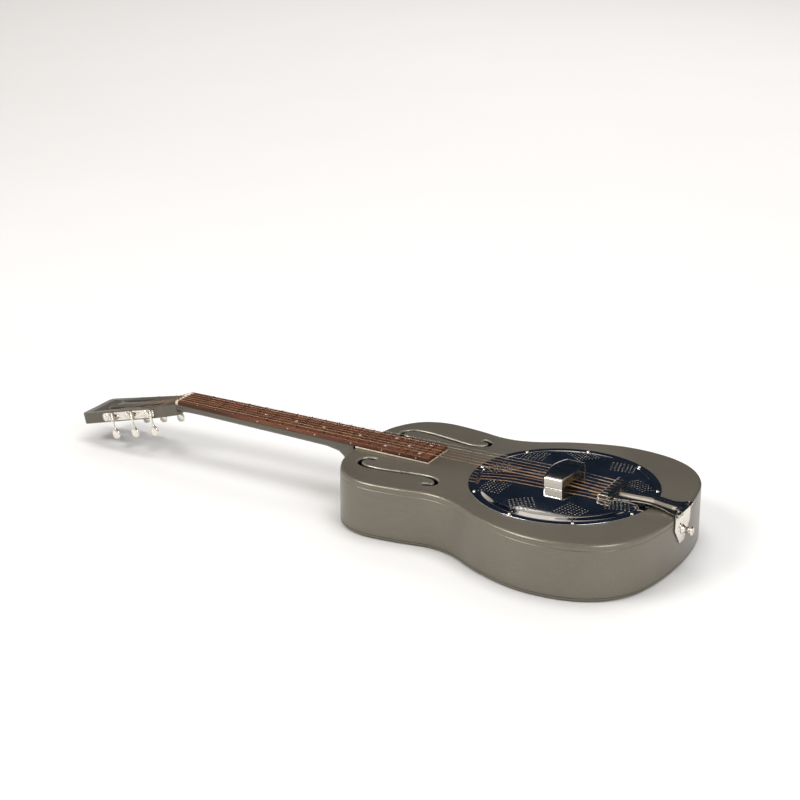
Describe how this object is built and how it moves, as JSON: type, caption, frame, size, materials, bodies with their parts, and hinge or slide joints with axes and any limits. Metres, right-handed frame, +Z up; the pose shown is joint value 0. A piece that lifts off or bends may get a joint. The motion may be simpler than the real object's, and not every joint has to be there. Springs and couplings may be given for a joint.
{
  "type": "resonator guitar",
  "caption": "Metal-bodied acoustic guitar with a spun cone under a round pierced coverplate, f-shaped sound holes, a slotted headstock and a hinged tailpiece.",
  "frame": {"origin": "middle of the bounding box, on the plane of the back that the guitar lies on", "axes": "+Z up out of the top face, X along the strings with the headstock at -X, bass side at -Y"},
  "size_m": [1.0016, 0.3568, 0.1095],
  "materials": {
    "body_finish": "warm grey metallic satin finish",
    "nickel": "polished nickel plate",
    "chrome_plate": "mirror chrome plate",
    "steel": "plain steel",
    "spun_aluminium": "spun, with fine turning rings",
    "maple": "bare maple",
    "padauk": "oiled reddish-brown wood",
    "painted_neck": "wood under the body's warm grey metallic finish",
    "ivory": "cream, lightly polished",
    "fret_wire": "polished nickel-silver wire",
    "plain_string": "plain steel wire",
    "wound_string": "bronze winding on steel"
  },
  "bodies": {
    "guitar": {"body_top": "body_finish", "body_sides": "body_finish", "body_back": "body_finish", "neck": "painted_neck", "cone_well": "steel", "biscuit_screw": "steel", "tailpiece_pin": "steel", "truss_rod": "steel", "resonator_cone": "spun_aluminium", "bridge_biscuit": "maple", "bridge_saddle": "maple", "neck_stick": "maple", "coverplate": "chrome_plate", "palm_rest": "nickel", "tailpiece_bracket": "nickel", "strap_button": "nickel", "tuner_plate_bass": "nickel", "tuner_plate_treble": "nickel", "fingerboard": "padauk", "fingerboard_riser": "ivory", "nut": "ivory", "fret_01": "fret_wire", "fret_02": "fret_wire", "fret_03": "fret_wire", "fret_04": "fret_wire", "fret_05": "fret_wire", "fret_06": "fret_wire", "fret_07": "fret_wire", "fret_08": "fret_wire", "fret_09": "fret_wire", "fret_10": "fret_wire", "fret_11": "fret_wire", "fret_12": "fret_wire", "fret_13": "fret_wire", "fret_14": "fret_wire", "fret_15": "fret_wire", "fret_16": "fret_wire", "fret_17": "fret_wire", "fret_18": "fret_wire", "fret_19": "fret_wire", "string_1": "plain_string", "string_2": "plain_string", "string_3": "wound_string", "string_4": "wound_string", "string_5": "wound_string", "string_6": "wound_string"},
    "tailpiece": {"tailpiece": "nickel"},
    "key_6": {"tuner_key_6": "nickel"},
    "roller_6": {"tuner_roller_6": "nickel"},
    "key_5": {"tuner_key_5": "nickel"},
    "roller_5": {"tuner_roller_5": "nickel"},
    "key_4": {"tuner_key_4": "nickel"},
    "roller_4": {"tuner_roller_4": "nickel"},
    "key_3": {"tuner_key_3": "nickel"},
    "roller_3": {"tuner_roller_3": "nickel"},
    "key_2": {"tuner_key_2": "nickel"},
    "roller_2": {"tuner_roller_2": "nickel"},
    "key_1": {"tuner_key_1": "nickel"},
    "roller_1": {"tuner_roller_1": "nickel"}
  },
  "joints": [
    {"name": "tailpiece_hinge", "type": "hinge", "parent": "guitar", "child": "tailpiece", "pos_m": [0.48678, 0, 0.0856], "axis": [0, 1, 0], "range_deg": [-0.1, 2], "stiffness_Nm_per_rad": 20, "deforming": ["string_1", "string_2", "string_3", "string_4", "string_5", "string_6"]},
    {"name": "key_turn_6", "type": "hinge", "parent": "guitar", "child": "key_6", "pos_m": [-0.37136, -0.03444, 0.06796], "axis": [0.2419, 0, -0.9703], "continuous": true},
    {"name": "roller_turn_6", "type": "hinge", "parent": "guitar", "child": "roller_6", "pos_m": [-0.37938, -0.03044, 0.06596], "axis": [-0.0592, 0.9981, -0.0148], "continuous": true},
    {"name": "key_turn_5", "type": "hinge", "parent": "guitar", "child": "key_5", "pos_m": [-0.40629, -0.03664, 0.05924], "axis": [0.2419, 0, -0.9703], "continuous": true},
    {"name": "roller_turn_5", "type": "hinge", "parent": "guitar", "child": "roller_5", "pos_m": [-0.41431, -0.03264, 0.05725], "axis": [-0.0592, 0.9981, -0.0148], "continuous": true},
    {"name": "key_turn_4", "type": "hinge", "parent": "guitar", "child": "key_4", "pos_m": [-0.44122, -0.03885, 0.05054], "axis": [0.2419, 0, -0.9703], "continuous": true},
    {"name": "roller_turn_4", "type": "hinge", "parent": "guitar", "child": "roller_4", "pos_m": [-0.44924, -0.03484, 0.04854], "axis": [-0.0592, 0.9981, -0.0148], "continuous": true},
    {"name": "key_turn_3", "type": "hinge", "parent": "guitar", "child": "key_3", "pos_m": [-0.44122, 0.03885, 0.05054], "axis": [0.2419, 0, -0.9703], "continuous": true},
    {"name": "roller_turn_3", "type": "hinge", "parent": "guitar", "child": "roller_3", "pos_m": [-0.44924, 0.03484, 0.04854], "axis": [-0.0592, -0.9981, -0.0148], "continuous": true},
    {"name": "key_turn_2", "type": "hinge", "parent": "guitar", "child": "key_2", "pos_m": [-0.40629, 0.03664, 0.05924], "axis": [0.2419, 0, -0.9703], "continuous": true},
    {"name": "roller_turn_2", "type": "hinge", "parent": "guitar", "child": "roller_2", "pos_m": [-0.41431, 0.03264, 0.05725], "axis": [-0.0592, -0.9981, -0.0148], "continuous": true},
    {"name": "key_turn_1", "type": "hinge", "parent": "guitar", "child": "key_1", "pos_m": [-0.37136, 0.03444, 0.06796], "axis": [0.2419, 0, -0.9703], "continuous": true},
    {"name": "roller_turn_1", "type": "hinge", "parent": "guitar", "child": "roller_1", "pos_m": [-0.37938, 0.03044, 0.06596], "axis": [-0.0592, -0.9981, -0.0148], "continuous": true}
  ],
  "couplings": [
    {"joint": "roller_turn_6", "follows": "key_turn_6", "ratio": -0.071429},
    {"joint": "roller_turn_5", "follows": "key_turn_5", "ratio": -0.071429},
    {"joint": "roller_turn_4", "follows": "key_turn_4", "ratio": -0.071429},
    {"joint": "roller_turn_3", "follows": "key_turn_3", "ratio": 0.071429},
    {"joint": "roller_turn_2", "follows": "key_turn_2", "ratio": 0.071429},
    {"joint": "roller_turn_1", "follows": "key_turn_1", "ratio": 0.071429}
  ]
}
